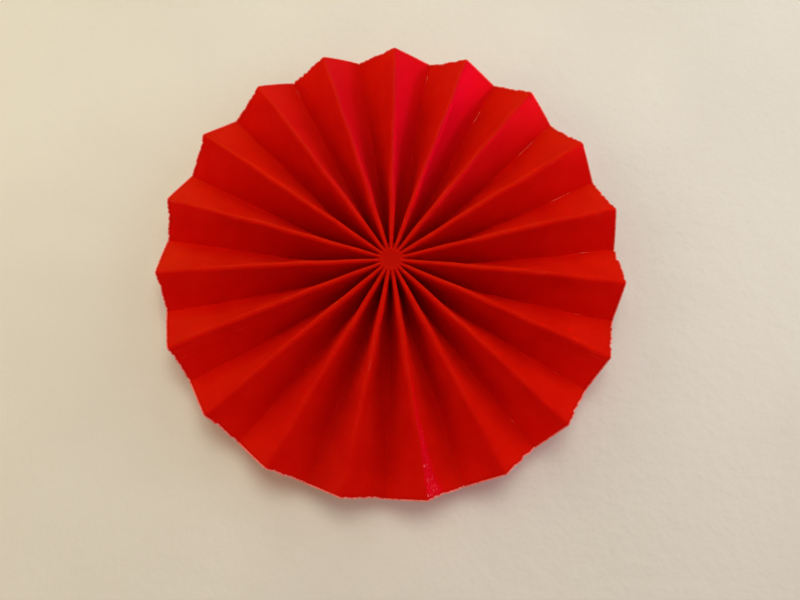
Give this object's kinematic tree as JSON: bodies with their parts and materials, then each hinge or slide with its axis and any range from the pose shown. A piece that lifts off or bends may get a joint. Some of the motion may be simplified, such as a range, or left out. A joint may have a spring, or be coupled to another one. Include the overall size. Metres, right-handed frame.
{
  "type": "paper fan rosette",
  "caption": "Round decoration of pleated red paper: folded panels fan out from a small bonded hub to a zigzag rim, in a shallow dish.",
  "frame": {"origin": "on the rosette's axis, at the flat back of the hub", "axes": "+Z along the axis towards the front, which faces up; +Y along one ridge; +X to the right"},
  "size_m": [0.1994, 0.1993, 0.0221],
  "materials": {
    "red_paper": "satin",
    "red_glue": "satin"
  },
  "bodies": {
    "root": {"pleated_paper": "red_paper", "glue_plug": "red_glue"}
  },
  "joints": []
}
